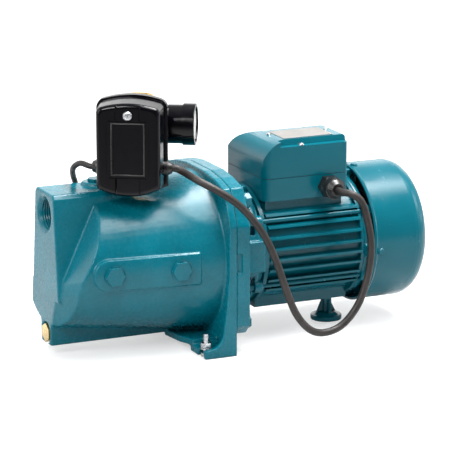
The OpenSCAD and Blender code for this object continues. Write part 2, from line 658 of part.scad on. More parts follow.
// Point in the switch's own directions: out from the fitting, to its right, up
function by_switch(out, right, z) = [
    outlet_x + out * cos(switch_turn) - right * sin(switch_turn),
    out * sin(switch_turn) + right * cos(switch_turn),
    z
];
switch_out = 35;
gland_z = 186;
function by_port(right) = by_switch(switch_out, right, gland_z);
module motor_cable() color([0.2, 0.17, 0.17])
    tube(spline([by_port(26), by_port(34), by_port(42), by_port(49) + [0, -1, -3],
                 [-9, -79, 178], [12, -94, 165],
                 [31, -97, 149], [50, -100, 124], [63, -102, 96], [73, -104, 66], [84, -105, 40],
                 [99, -105, 23], [116, -104, 18], [136, -103, 24], [154, -102, 44], [165, -101, 75],
                 [168, -99, 103], [165, -95, 128], [160, -92, 144], [152, -87, 151],
                 for (y = [-79, -71, -60, -36]) [box_gland[0], y, box_gland[1]]], 5),
         3.9, [0, 0, 1]);
// The mains cord hangs in a coil behind the casing; each step is a twelfth of a turn
function coil(i) = [-62 + 36 * cos(i * 30), 92 + 0.65 * (i - 19), 66 + 50 * sin(i * 30)];
module mains_cord() color([0.25, 0.24, 0.25])
    tube(spline(concat([by_port(-26), by_port(-34), by_port(-42), [-100, 0, 188], [-103, 12, 181],
                        [-97, 28, 169], [-88, 44, 154], [-84, 66, 134], [-88, 82, 112]],
                       [for (i = [5 : 33]) coil(i)],
                       [[-40, 104, 15], [-28, 106, 20], [-20, 107, 22], [-12, 107, 22], [-4, 107, 22]]),
                3), 3.2, [0, 0, 1], 8);
module mains_plug() color(black) translate([-4, 107, 22]) rotate([0, 90, 0]) {
    translate([0, 0, -2]) difference() {
        cylinder(h = 12, r1 = 6, r2 = 9);
        translate([0, 0, -1]) cylinder(h = 8, r = 3.5);
    }
    translate([0, 0, 10]) cylinder(h = 20, r = 17);
    for (y = [-9.5, 9.5]) translate([0, y, 30]) cylinder(h = 19, r = 2.4);
}

// ---------------------------------------------------------------- fitting
module facing(turn, z) translate([outlet_x, 0, z]) rotate([0, 0, turn]) rotate([0, 90, 0]) children();
module five_way_fitting() color(brass_colour) difference() {
    union() {
        translate([outlet_x, 0, boss_top - 12]) cylinder(h = 16, r = g1_r - 0.1);
        hex_z(boss_top + 0.1, boss_top + 11, 38, outlet_x);
        translate([outlet_x, 0, 0]) rotate_extrude()
            polygon([[0, boss_top + 5], [18, boss_top + 5], [18, fitting_top - 1.5],
                     [16.5, fitting_top], [0, fitting_top]]);
        facing(switch_turn, switch_z) cylinder(h = 23, r = 9.5);
        facing(gauge_turn, gauge_z) cylinder(h = 23, r = 9.5);
        facing(switch_turn + 180, 204) cylinder(h = 34, r = 19.5);
    }
    translate([outlet_x, 0, boss_top - 13]) cylinder(h = 60, r = 12);
    translate([outlet_x, 0, boss_top + 40]) cylinder(h = 80, r = 12);
    translate([outlet_x, 0, fitting_top - 15]) cylinder(h = 20, r = g1_r);
    facing(switch_turn, switch_z) translate([0, 0, 6]) cylinder(h = 30, r = 6.1);
    facing(gauge_turn, gauge_z) translate([0, 0, 6]) cylinder(h = 30, r = 6.1);
    facing(switch_turn + 180, 204) cylinder(h = 20, r = 12);
    facing(switch_turn + 180, 204) translate([0, 0, 19]) cylinder(h = 20, r = g1_r);
}

// ---------------------------------------------------------------- gauge
gauge_r = 19.2;
module gauge_part(points) facing(gauge_turn, gauge_z) rotate_extrude() polygon(points);
module gauge_case() color(black) {
    gauge_part([[0, 30], [gauge_r - 1, 30], [gauge_r, 31], [gauge_r, 53], [gauge_r - 1.5, 53],
                [gauge_r - 1.5, 49], [0, 49]]);
    facing(gauge_turn, gauge_z) {
        translate([0, 0, 23.1]) cylinder(h = 7, r = 7 / cos(30), $fn = 6);
        difference() {
            translate([0, 0, 15]) cylinder(h = 9, r = 6);
            translate([0, 0, 14]) cylinder(h = 9, r = 2);
        }
    }
}
module gauge_ring() color(black)
    gauge_part([[gauge_r + 0.02, 46], [gauge_r + 1.4, 46], [gauge_r + 1.4, 57.5], [gauge_r + 0.6, 58.2],
                [gauge_r - 1.8, 58.2], [gauge_r - 1.8, 57.2], [gauge_r + 0.02, 57.2]]);
module gauge_glass() color([0.85, 0.9, 0.92, 0.4]) gauge_part([[0, 55.6], [gauge_r, 55.6], [gauge_r, 57.1], [0, 57.1]]);
module gauge_dial() color("white") difference() {
    gauge_part([[0, 49.1], [gauge_r - 1.6, 49.1], [gauge_r - 1.6, 49.8], [0, 49.8]]);
    facing(gauge_turn, gauge_z) cylinder(h = 60, r = 1.1);
}
module gauge_needle() color([0.75, 0.1, 0.08]) facing(gauge_turn, gauge_z) {
    translate([0, 0, 51]) cylinder(h = 2.2, r = 2.4);
    translate([0, 0, 49.05]) cylinder(h = 3, r = 1);
    rotate([0, 0, -135]) translate([0, 0, 51.6]) linear_extrude(0.7)
        polygon([[5, -1.2], [5, 1.2], [-14.5, 0.3], [-14.5, -0.3]]);
}

// ---------------------------------------------------------------- switch
module on_switch() translate([outlet_x, 0, switch_z]) rotate([0, 0, switch_turn]) rotate([90, 0, 90]) children();
// Face outline of the switch: straight sides, arched bottom, arched top with rounded corners
module switch_face(inset, corner = 6) {
    w = cover_w / 2 - inset;
    rise = sqrt(pow(91 - inset - corner, 2) - pow(w - corner, 2));
    turn = atan2(rise, w - corner);
    polygon(concat([[w, -39 + inset]], arc(0, 16.5, 64 - inset, -62, -118, 12), [[-w, -39 + inset]],
                   arc(corner - w, rise - 46, corner, 180, 180 - turn, 6),
                   arc(0, -46, 91 - inset, 178 - turn, turn + 2, 10),
                   arc(w - corner, rise - 46, corner, turn, 0, 6)));
}
module switch_slab(t0, t1) on_switch() translate([0, 0, t0]) linear_extrude(t1 - t0) children();
module switch_flange() color(zinc) on_switch() {
    difference() {
        union() {
            translate([0, 0, 15]) cylinder(h = 8.2, r = 6);
            translate([0, 0, 23.1]) cylinder(h = 3, r = 8.5 / cos(30), $fn = 6);
            translate([0, 0, 26]) cylinder(h = 3, r = 26);
        }
        translate([0, 0, 14]) cylinder(h = 13, r = 2);
        translate([0, 0, 27]) cylinder(h = 3, r = 20);
    }
}
// The rim stands proud of the face all round, and stops short of the casing below
module switch_rim() intersection() {
    switch_face(-3.2, 10);
    translate([-50, -45.3]) square(100);
}
module gland_holes()
    for (s = [-1, 1]) translate(by_port(0)) rotate([0, 0, switch_turn]) rotate([-90 * s, 0, 0])
        translate([0, 0, 22]) cylinder(h = 40, r = 7.7);
module switch_base() color(black) difference() {
    switch_slab(29.05, 33) switch_rim();
    on_switch() translate([0, 0, 20]) cylinder(h = 20, r = 7.1);
    gland_holes();
}
module switch_cover() color(black) difference() {
    union() {
        switch_slab(33.05, 66) switch_face(0);
        switch_slab(33.05, 37) switch_rim();
    }
    switch_slab(33, 63.5) switch_face(2.5, 4);
    // Label recess and grooves in the front
    switch_slab(65.2, 68) translate([-15.5, -25]) square([31, 50]);
    for (x = [-11, 11]) {
        switch_slab(65, 68) translate([x - 0.8, 29]) square([1.6, 30]);
        switch_slab(65, 68) translate([x - 0.8, -60]) square([1.6, 31]);
    }
    on_switch() translate([0, 33, 60]) cylinder(h = 10, r = 2.6);
    gland_holes();
}
module cover_screw() color("silver") on_switch() {
    translate([0, 33, 34]) cylinder(h = 33, r = 2.2);
    difference() {
        translate([0, 33, 66.02]) cylinder(h = 2.4, r = 4.6);
        translate([-6, 32.4, 67.4]) cube([12, 1.2, 4]);
    }
}
module switch_plunger() color([0.85, 0.85, 0.8]) on_switch() translate([0, 0, 27.4]) cylinder(h = 7.6, r = 7);
module switch_lever() color(zinc) on_switch() difference() {
    union() {
        translate([-8, -20, 37.3]) cube([16, 44, 1.6]);
        translate([-7.4, -20, 38]) rotate([0, 90, 0]) cylinder(h = 14.8, r = 1.5);
    }
    translate([0, 14, 30]) cylinder(h = 20, r = 3.1);
}
module switch_springs() color(zinc) on_switch() {
    for (p = [[0, 14, 6.2], [0, -34, 3.6]]) translate([p[0], p[1], p[1] > 0 ? 40.2 : 33.05])
        for (k = [0 : 5]) translate([0, 0, k * 2.55 + 1.1]) rotate_extrude()
            translate([p[2] - 1, 0]) circle(r = 1.1, $fn = 24);
    translate([0, 14, 33.05]) cylinder(h = 26, r = 2.5);
    translate([0, 14, 56]) cylinder(h = 3, r = 5, $fn = 6);
}
module switch_terminals() color(brass_colour) on_switch()
    for (x = [-22 : 11 : 22]) if (x != 0) {
        translate([x - 3.5, -22, 33.05]) cube([7, 14, 4]);
        translate([x, -15, 37]) cylinder(h = 2.4, r = 2.8);
    }
module switch_glands() color(black)
    for (s = [-1, 1])
        translate(by_port(0)) rotate([0, 0, switch_turn]) rotate([-90 * s, 0, 0]) difference() {
            union() {
                translate([0, 0, cover_w / 2 - 3]) cylinder(h = 6.5, r = 7.5);
                translate([0, 0, cover_w / 2 + 3.5]) cylinder(h = 4, r1 = 7, r2 = 5);
            }
            translate([0, 0, 20]) cylinder(h = 40, r = 4.2);
        }

pump_casing();
casing_seal();
drain_plug();
side_plugs();
filler_plug();
foot_bolts();
foot_nuts();
foot_washers();
jet_nozzle();
venturi_tube();
diffuser();
impeller();
impeller_nut();
seal_head();
seal_seat();
motor_bracket();
flange_bolts();
motor_frame();
stator_core();
stator_windings();
tie_rods();
shaft();
rotor_core();
bearing_outer_rings();
bearing_inner_rings();
bearing_balls();
rear_shield();
cooling_fan();
fan_cover();
fan_cover_screws();
support_foot();
box_base();
box_gasket();
box_lid();
box_screws();
rating_plate();
capacitor();
terminal_block();
cable_gland();
gland_nut();
motor_cable();
mains_cord();
mains_plug();
five_way_fitting();
gauge_case();
gauge_ring();
gauge_glass();
gauge_dial();
gauge_needle();
switch_flange();
switch_base();
switch_plunger();
switch_lever();
switch_springs();
switch_terminals();
switch_glands();
switch_cover();
cover_screw();
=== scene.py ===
"""Looks of the shallow well jet pump: cast skins, bevels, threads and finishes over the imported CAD."""

import json
import math

import bmesh
import bpy
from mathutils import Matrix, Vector


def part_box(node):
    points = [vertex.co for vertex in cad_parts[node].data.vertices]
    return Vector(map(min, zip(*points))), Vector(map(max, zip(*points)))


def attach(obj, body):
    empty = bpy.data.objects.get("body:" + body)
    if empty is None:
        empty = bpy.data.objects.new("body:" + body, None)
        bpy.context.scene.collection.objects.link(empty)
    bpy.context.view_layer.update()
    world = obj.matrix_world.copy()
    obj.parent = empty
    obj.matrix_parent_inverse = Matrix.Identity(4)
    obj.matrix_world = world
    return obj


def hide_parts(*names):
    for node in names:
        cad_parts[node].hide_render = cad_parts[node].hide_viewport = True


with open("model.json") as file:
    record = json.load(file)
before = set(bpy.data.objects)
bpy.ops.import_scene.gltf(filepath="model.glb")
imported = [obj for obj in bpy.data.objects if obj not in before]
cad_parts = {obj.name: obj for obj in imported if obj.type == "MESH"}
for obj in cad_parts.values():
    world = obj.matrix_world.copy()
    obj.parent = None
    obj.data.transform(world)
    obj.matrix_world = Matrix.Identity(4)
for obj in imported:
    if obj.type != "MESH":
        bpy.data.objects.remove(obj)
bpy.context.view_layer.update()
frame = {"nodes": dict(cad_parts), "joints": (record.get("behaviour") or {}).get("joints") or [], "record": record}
record = frame["record"]
body_of_node = {n: body for body, nodes in record["behaviour"]["bodies"].items() for n in nodes}
slot_of_node = {part["node"]: part["material_slot"] for part in record["subparts"]}
mounts = {m["name"]: m for m in record["mounts"]}

MM = 0.001
TEAL = (0.0, 0.135, 0.184)
ZINC = (0.52, 0.53, 0.55)
G1_PITCH = 2.309
FOOT_BOLT_Y = 75.5


# ---------------------------------------------------------------- materials
class Shader:
    """A node material with a Principled surface and small helpers that wire procedural detail into it."""

    def __init__(self, name, color, rough, metallic=0.0):
        self.mat = bpy.data.materials.new(name)
        self.mat.use_nodes = True
        self.nodes = self.mat.node_tree.nodes
        self.links = self.mat.node_tree.links
        self.bsdf = self.nodes["Principled BSDF"]
        self.coord = self.nodes.new("ShaderNodeTexCoord").outputs["Object"]
        self.set("Base Color", (*color, 1))
        self.set("Roughness", rough)
        self.set("Metallic", metallic)
        self.height = None

    def set(self, socket, value):
        """Sets one input of the surface."""
        self.bsdf.inputs[socket].default_value = value

    def noise(self, scale, detail=3.0, stretch=(1, 1, 1)):
        """Noise in object space, drawn out along an axis by stretch."""
        mapping = self.nodes.new("ShaderNodeMapping")
        mapping.inputs["Scale"].default_value = stretch
        self.links.new(self.coord, mapping.inputs["Vector"])
        noise = self.nodes.new("ShaderNodeTexNoise")
        noise.inputs["Scale"].default_value = scale
        noise.inputs["Detail"].default_value = detail
        self.links.new(mapping.outputs["Vector"], noise.inputs["Vector"])
        return noise.outputs["Fac"]

    def ranged(self, value, low, high, start=0.3, end=0.7):
        """Runs from low to high while the value goes from start to end."""
        node = self.nodes.new("ShaderNodeMapRange")
        node.inputs["From Min"].default_value = start
        node.inputs["From Max"].default_value = end
        node.inputs["To Min"].default_value = low
        node.inputs["To Max"].default_value = high
        self.links.new(value, node.inputs["Value"])
        return node.outputs["Result"]

    def tint(self, value, dark, light):
        """Base colour runs from dark to light with the value."""
        mix = self.nodes.new("ShaderNodeMix")
        mix.data_type = "RGBA"
        mix.inputs["A"].default_value = (*dark, 1)
        mix.inputs["B"].default_value = (*light, 1)
        self.links.new(value, mix.inputs["Factor"])
        self.links.new(mix.outputs["Result"], self.bsdf.inputs["Base Color"])

    def roughen(self, value, low, high):
        """Roughness runs from low to high with the value."""
        self.links.new(self.ranged(value, low, high), self.bsdf.inputs["Roughness"])

    def bump(self, value, distance, strength=1.0):
        """Adds one more layer of relief over those already there."""
        node = self.nodes.new("ShaderNodeBump")
        node.inputs["Strength"].default_value = strength
        node.inputs["Distance"].default_value = distance
        self.links.new(value, node.inputs["Height"])
        if self.height is not None:
            self.links.new(self.height, node.inputs["Normal"])
        self.height = node.outputs["Normal"]
        self.links.new(self.height, self.bsdf.inputs["Normal"])


def shade(color, factor):
    """The colour made darker or lighter by the factor."""
    return tuple(c * factor for c in color)


def cast_paint(name):
    """Teal enamel sprayed over sand-cast iron: grain shows through, gloss varies."""
    s = Shader(name, TEAL, 0.3)
    s.tint(s.ranged(s.noise(28), 0, 1), shade(TEAL, 0.68), shade(TEAL, 0.84))
    s.roughen(s.noise(240), 0.18, 0.34)
    s.bump(s.noise(420, 2), 0.00018, 0.25)
    s.bump(s.noise(1700, 3), 0.0001, 0.45)
    s.set("Specular IOR Level", 0.28)
    return s.mat


def smooth_paint(name, peel=0.2, rough=(0.16, 0.28)):
    """Gloss enamel on a smooth base with a light orange peel."""
    s = Shader(name, TEAL, 0.2)
    s.tint(s.ranged(s.noise(18), 0, 1), shade(TEAL, 0.56), shade(TEAL, 0.66))
    s.roughen(s.noise(90), *rough)
    s.bump(s.noise(420, 2), 0.00015, peel)
    s.set("Specular IOR Level", 0.24)
    return s.mat


def metal(name, color, rough, brushed=(1, 1, 1), tarnish=0.75, scale=160):
    """Bare or plated metal with tool marks and faint tarnish."""
    s = Shader(name, color, rough[0], 1.0)
    s.tint(s.ranged(s.noise(60), 0, 1), shade(color, tarnish), color)
    marks = s.noise(scale, 6, brushed)
    s.roughen(marks, *rough)
    s.bump(marks, 0.00006, 0.5)
    return s.mat


def plastic(name, color, rough, grain=900, depth=0.00008, strength=0.4, shine=0.5):
    """Moulded plastic or rubber with a fine grain."""
    s = Shader(name, color, rough[0])
    s.set("Specular IOR Level", shine)
    s.tint(s.ranged(s.noise(40), 0, 1), shade(color, 0.85), shade(color, 1.15))
    s.roughen(s.noise(130), *rough)
    s.bump(s.noise(grain, 3), depth, strength)
    return s.mat


def laminated(name):
    """Stacked electrical steel: thin plates across the shaft."""
    s = Shader(name, (0.4, 0.4, 0.41), 0.4, 0.9)
    plates = s.noise(60, 2, (60, 0.2, 0.2))
    s.tint(s.ranged(plates, 0, 1), (0.22, 0.22, 0.23), (0.48, 0.48, 0.5))
    s.roughen(plates, 0.3, 0.5)
    s.bump(plates, 0.0003, 0.6)
    return s.mat


def wound_copper(name):
    """Enamelled wire laid in the coils."""
    s = Shader(name, (0.6, 0.24, 0.09), 0.3, 0.9)
    wires = s.noise(120, 2, (9, 1, 1))
    s.tint(s.ranged(wires, 0, 1), (0.36, 0.12, 0.04), (0.7, 0.3, 0.12))
    s.roughen(wires, 0.22, 0.42)
    s.bump(wires, 0.0006, 0.7)
    return s.mat


def clear_glass(name):
    """Flat gauge glass, clear and lightly wiped."""
    s = Shader(name, (1, 1, 1), 0.02)
    s.set("Transmission Weight", 1.0)
    s.set("IOR", 1.45)
    s.roughen(s.noise(60), 0.01, 0.05)
    return s.mat


def sheath(name):
    """Rubber cable sheath with faint rings left by its lay."""
    s = Shader(name, (0.022, 0.019, 0.019), 0.45)
    s.tint(s.ranged(s.noise(70), 0, 1), (0.01, 0.0085, 0.008), (0.024, 0.02, 0.019))
    s.roughen(s.noise(300), 0.38, 0.6)
    s.set("Specular IOR Level", 0.35)
    s.bump(s.noise(700, 2), 0.0003, 0.5)
    return s.mat


MATERIALS = {
    "casting_paint": cast_paint("casting_paint"),
    "motor_paint": smooth_paint("motor_paint", 0.3),
    "lid_plastic": smooth_paint("lid_plastic", 0.15, (0.14, 0.24)),
    "zinc_steel": metal("zinc_steel", ZINC, (0.18, 0.36)),
    "bearing_steel": metal("bearing_steel", (0.7, 0.71, 0.73), (0.06, 0.15), tarnish=0.9),
    "shaft_steel": metal("shaft_steel", (0.6, 0.61, 0.62), (0.16, 0.3), (12, 0.5, 0.5)),
    "brass": metal("brass", (0.78, 0.58, 0.27), (0.2, 0.38)),
    "black_plastic": plastic("black_plastic", (0.001, 0.001, 0.002), (0.1, 0.2), 600, 0.00004,
                             shine=0.22),
    "gland_plastic": plastic("gland_plastic", (0.008, 0.007, 0.007), (0.25, 0.4)),
    "cable_rubber": sheath("cable_rubber"),
    "seal_rubber": plastic("seal_rubber", (0.02, 0.02, 0.02), (0.5, 0.7)),
    "hydraulic_plastic": plastic("hydraulic_plastic", (0.035, 0.038, 0.042), (0.4, 0.6)),
    "nozzle_plastic": plastic("nozzle_plastic", (0.62, 0.57, 0.45), (0.35, 0.55)),
    "ceramic": plastic("ceramic", (0.8, 0.79, 0.75), (0.12, 0.2)),
    "core_steel": laminated("core_steel"),
    "copper": wound_copper("copper"),
    "rotor_aluminium": metal("rotor_aluminium", (0.6, 0.61, 0.63), (0.3, 0.5), scale=90),
    "plate_aluminium": metal("plate_aluminium", (0.33, 0.315, 0.3), (0.35, 0.5), (30, 1, 1), 0.85),
    "capacitor_plastic": plastic("capacitor_plastic", (0.75, 0.74, 0.7), (0.35, 0.5)),
    "terminal_plastic": plastic("terminal_plastic", (0.5, 0.4, 0.26), (0.4, 0.6)),
    "glass": clear_glass("glass"),
    "dial_white": plastic("dial_white", (0.85, 0.85, 0.83), (0.3, 0.45)),
    "needle_red": plastic("needle_red", (0.5, 0.02, 0.015), (0.25, 0.4)),
}


# ---------------------------------------------------------------- pieces
def linked(name, data):
    """A new object in the scene that holds the mesh, lamp or camera data."""
    obj = bpy.data.objects.new(name, data)
    bpy.context.scene.collection.objects.link(obj)
    return obj


def baked(obj):
    """The object's mesh with its modifiers applied; the object itself is removed."""
    bpy.context.view_layer.update()
    evaluated = obj.evaluated_get(bpy.context.evaluated_depsgraph_get())
    mesh = bpy.data.meshes.new_from_object(evaluated)
    bpy.data.objects.remove(obj)
    return mesh


def dress(obj, node, slot=None):
    """Gives the piece its finish and lets it ride with the node's body."""
    slot = slot or slot_of_node[node]
    obj.data.materials.clear()
    obj.data.materials.append(MATERIALS[slot])
    obj.data.polygons.foreach_set("use_smooth", [True] * len(obj.data.polygons))
    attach(obj, body_of_node[node])
    return obj


def welded_copy(node, name):
    """A copy of the node's mesh, welded, with its flat triangles joined."""
    mesh = frame["nodes"][node].data.copy()
    mesh.name = name
    bm = bmesh.new()
    bm.from_mesh(mesh)
    bmesh.ops.remove_doubles(bm, verts=bm.verts, dist=1e-6)
    bmesh.ops.dissolve_limit(bm, angle_limit=math.radians(0.4), verts=bm.verts, edges=bm.edges)
    bm.to_mesh(mesh)
    bm.free()
    if "custom_normal" in mesh.attributes:
        mesh.attributes.remove(mesh.attributes["custom_normal"])
    return linked(name, mesh)


def cut_away(obj, tools):
    """The object's mesh with the tools cut out of it; the object and the tools are removed."""
    for tool in tools:
        cut = obj.modifiers.new("cut", "BOOLEAN")
        cut.operation = "DIFFERENCE"
        cut.solver = "EXACT"
        cut.object = tool
    mesh = baked(obj)
    for tool in tools:
        bpy.data.objects.remove(tool)
    return mesh


def cast_skin(node, voxel, rounds, tools=(), sand=0.00003):
    """Stands for the node as a casting: every edge softened, faces a little uneven.

    The voxel is in millimetres; more rounds make wider fillets; the tools are cut out first.
    """
    obj = linked(node + "_raw", cut_away(welded_copy(node, node + "_raw"), tools))
    skin = obj.modifiers.new("skin", "REMESH")
    skin.mode = "VOXEL"
    skin.voxel_size = voxel * MM
    skin.adaptivity = 0
    fillet = obj.modifiers.new("fillet", "SMOOTH")
    fillet.factor = 0.5
    fillet.iterations = rounds
    clouds = bpy.data.textures.new(node + "_sand", "CLOUDS")
    clouds.noise_scale = 0.008
    uneven = obj.modifiers.new("uneven", "DISPLACE")
    uneven.texture = clouds
    uneven.texture_coords = "LOCAL"
    uneven.strength = sand
    uneven.mid_level = 0.5
    piece = dress(linked(node + "_cast", baked(obj)), node)
    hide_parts(node)
    return piece


def bevelled(node, width, segments=2, angle=32):
    """Stands for the node with small radii on its sharp edges."""
    piece = welded_copy(node, node + "_made")
    dress(piece, node)
    bevel = piece.modifiers.new("radius", "BEVEL")
    bevel.width = width * MM
    bevel.segments = segments
    bevel.limit_method = "ANGLE"
    bevel.angle_limit = math.radians(angle)
    bevel.harden_normals = False
    normals = piece.modifiers.new("flats", "WEIGHTED_NORMAL")
    normals.keep_sharp = True
    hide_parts(node)
    return piece


def rounded_tube(node):
    """Stands for a cable node with a smooth round section."""
    piece = welded_copy(node, node + "_sheath")
    bm = bmesh.new()
    bm.from_mesh(piece.data)
    bmesh.ops.join_triangles(bm, faces=bm.faces, angle_face_threshold=3.1, angle_shape_threshold=3.1)
    bm.to_mesh(piece.data)
    bm.free()
    dress(piece, node)
    smooth = piece.modifiers.new("round", "SUBSURF")
    smooth.levels = smooth.render_levels = 2
    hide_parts(node)
    return piece


def from_rings(name, rings, closed=True, caps=True):
    """A skin over rings of points that all have the same count."""
    bm = bmesh.new()
    rows = [[bm.verts.new(p) for p in ring] for ring in rings]
    count = len(rows[0])
    for a, b in zip(rows, rows[1:]):
        for i in range(count if closed else count - 1):
            bm.faces.new((a[i], a[(i + 1) % count], b[(i + 1) % count], b[i]))
    if caps:
        bm.faces.new(rows[0][::-1])
        bm.faces.new(rows[-1])
    bmesh.ops.recalc_face_normals(bm, faces=bm.faces)
    mesh = bpy.data.meshes.new(name)
    bm.to_mesh(mesh)
    bm.free()
    return linked(name, mesh)


def axes_for(direction):
    """Two unit vectors square to the direction."""
    side = Vector((0, 0, 1)).cross(direction)
    if side.length < 0.1:
        side = Vector((1, 0, 0))
    side.normalize()
    return side, direction.cross(side).normalized()


def thread(name, node, start, direction, length, root, crest, pitch, slot=None):
    """A helical ridge from start along direction; crest is inside root for a hole."""
    direction = Vector(direction).normalized()
    side, up = axes_for(direction)
    steps = 40
    rings = []
    for i in range(int(steps * (length / pitch - 1)) + 1):
        turn = math.tau * i / steps
        along = pitch * (0.5 + i / steps)
        out = side * math.cos(turn) + up * math.sin(turn)
        profile = ((-0.48, root), (-0.08, crest), (0.08, crest), (0.48, root))
        rings.append([Vector(start) + direction * (along + pitch * a) * MM + out * r * MM
                      for a, r in profile])
    return dress(from_rings(name, rings, closed=False, caps=False), node, slot)


def mouth_cone(face, outward, radius, depth):
    """A cone that opens the mouth of a hole at 45 degrees."""
    side, up = axes_for(outward)
    rings = []
    for along, r in ((1, radius + depth + 1), (-depth, radius)):
        ring = []
        for i in range(64):
            a = math.tau * i / 64
            ring.append(face + (outward * along + (side * math.cos(a) + up * math.sin(a)) * r) * MM)
        rings.append(ring)
    return from_rings("mouth_cone", rings)


# ---------------------------------------------------------------- CAD nodes as they are
for node_name, node_object in frame["nodes"].items():
    node_object.data.materials.clear()
    node_object.data.materials.append(MATERIALS[slot_of_node[node_name]])

# The suction mouth opens wider than its thread
suction = mounts["suction_port"]
mouth = Vector(suction["pos_m"])
mouth.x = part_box("pump_casing")[0].x
countersink = mouth_cone(mouth, Vector(suction["axis"]), suction["dims"]["r_mm"], 3.2)
cast_skin("pump_casing", 0.9, 9, [countersink])
cast_skin("motor_bracket", 0.9, 3)
cast_skin("rear_shield", 1.2, 2)
cast_skin("support_foot", 0.9, 2)
bevelled("motor_frame", 0.5)
bevelled("box_base", 1.2, 3)
bevelled("box_lid", 2.0, 4)
for name in ("side_plugs", "drain_plug", "filler_plug", "flange_bolts", "foot_nuts", "foot_bolts"):
    bevelled(name, 0.7)
for name in ("foot_washers", "box_screws", "fan_cover_screws", "rating_plate"):
    bevelled(name, 0.2)
for name in ("cable_gland", "gland_nut", "switch_glands", "five_way_fitting", "tie_rods"):
    bevelled(name, 0.5)
for name in ("motor_cable", "mains_cord"):
    rounded_tube(name)

# ---------------------------------------------------------------- threads
for mount_name, node_name in (("suction_port", "pump_casing"), ("outlet_port", "five_way_fitting"),
                              ("tank_port", "five_way_fitting")):
    mount = mounts[mount_name]
    axis = Vector(mount["axis"])
    radius = mount["dims"]["r_mm"]
    depth = mount["dims"]["length_mm"]
    start = Vector(mount["pos_m"]) - axis * depth / 2 * MM
    thread(mount_name + "_thread", node_name, start, axis, depth, radius + 0.05, radius - 0.9, G1_PITCH)
stud_low, stud_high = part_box("foot_bolts")
for side, where in ((-1, "near"), (1, "far")):
    foot = Vector(((stud_low.x + stud_high.x) / 2, side * FOOT_BOLT_Y * MM, 9.5 * MM))
    thread(f"stud_thread_{where}", "foot_bolts", foot, (0, 0, 1), 13, 2.9, 3.05, 1.0)

# ---------------------------------------------------------------- switch cover
switch_joint = next(j for j in frame["joints"] if j["name"] == "plunger_travel")
SWITCH_OUT = Vector(switch_joint["axis"]).normalized()
SWITCH_RIGHT = Vector((-SWITCH_OUT.y, SWITCH_OUT.x, 0))
FITTING_AXIS = Vector((mounts["outlet_port"]["pos_m"][0], mounts["outlet_port"]["pos_m"][1], 0))
SWITCH_Z = 210
COVER_HALF = 31.5
COVER_FRONT = 66.0
# Half the width and height of the sunk panel in the cover's front
PANEL_U, PANEL_W = 15.5, 25.0
# Arches that close the cover's outline, as (height of the centre, radius)
TOP_ARCH = (-46, 91)
BOTTOM_ARCH = (16.5, 64)
BOTTOM_CORNER = 4


def on_switch(u, w, t):
    """Point from the switch centre in millimetres: u to its right, w up, t outwards."""
    return FITTING_AXIS + (SWITCH_RIGHT * u + SWITCH_OUT * t) * MM + Vector((0, 0, (SWITCH_Z + w) * MM))


def rounded_arch(half, centre, radius, corner, sign, count):
    """Points of an arch whose two ends run into the straight sides through a rounded corner."""
    inner = half - corner
    rise = math.sqrt((radius - corner) ** 2 - inner ** 2)
    turn = math.atan2(rise, inner)
    points = []
    for i in range(count + 1):
        a = turn * i / count
        points.append((inner + corner * math.cos(a), centre + sign * (rise + corner * math.sin(a))))
    for i in range(1, count):
        a = turn + (math.pi - 2 * turn) * i / count
        points.append((radius * math.cos(a), centre + sign * radius * math.sin(a)))
    for i in range(count + 1):
        a = math.pi - turn + turn * i / count
        points.append((-inner + corner * math.cos(a), centre + sign * (rise + corner * math.sin(a))))
    return points


def face_outline(inset, corner, floor=-60.0, count=10):
    """Arched outline of the cover, its corners rounded, as (u, w) pairs."""
    half = COVER_HALF - inset
    top = rounded_arch(half, TOP_ARCH[0], TOP_ARCH[1] - inset, corner, 1, count)
    bottom = rounded_arch(half, BOTTOM_ARCH[0], BOTTOM_ARCH[1] - inset, BOTTOM_CORNER, -1, count)
    return top + [(u, max(w, floor)) for u, w in reversed(bottom)]


def groove(u, w, half_u, half_w, depth):
    """A block around (u, w) that sinks a groove of this depth into the cover's front."""
    corners = [(u - half_u, w - half_w), (u + half_u, w - half_w),
               (u + half_u, w + half_w), (u - half_u, w + half_w)]
    levels = (COVER_FRONT - depth, COVER_FRONT + 4)
    return from_rings("groove", [[on_switch(a, b, t) for a, b in corners] for t in levels])


# The cover from its rim outwards, as (distance from the fitting's axis, inset of the outline)
cover_rings = [(33.1, -2.7), (33.4, -3.2), (36.0, -3.2), (36.4, -2.7), (36.6, -1.2), (37.4, -0.8),
               (61.5, 0.4), (63.3, 0.8), (64.8, 1.8), (65.6, 3.2), (COVER_FRONT, 5.2)]
outlines = []
for t, inset in cover_rings:
    on_rim = inset < -2
    outline = face_outline(inset, 10 if on_rim else 6.5, -45.3 if on_rim else -60)
    outlines.append([on_switch(u, w, t) for u, w in outline])
raw_cover = from_rings("raw_cover", outlines)
grooves = [groove(0, 0, PANEL_U, PANEL_W, 1.1)]
for u in (-11.5, 11.5):
    for w in (44.35, -44.35):
        grooves.append(groove(u, w, 0.8, 15.65, 1.2))
for w in (27.8, -27.8):
    grooves.append(groove(0, w, 18.5, 0.7, 1.0))
for u in (-20.5, 20.5):
    grooves.append(groove(u, 0, 0.5, 27.5, 0.5))
cover = linked("switch_cover_made", cut_away(raw_cover, grooves))
dress(cover, "switch_cover")
edge = cover.modifiers.new("radius", "BEVEL")
edge.width = 0.35 * MM
edge.segments = 2
edge.limit_method = "ANGLE"
edge.angle_limit = math.radians(40)
cover.modifiers.new("flats", "WEIGHTED_NORMAL")
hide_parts("switch_cover")


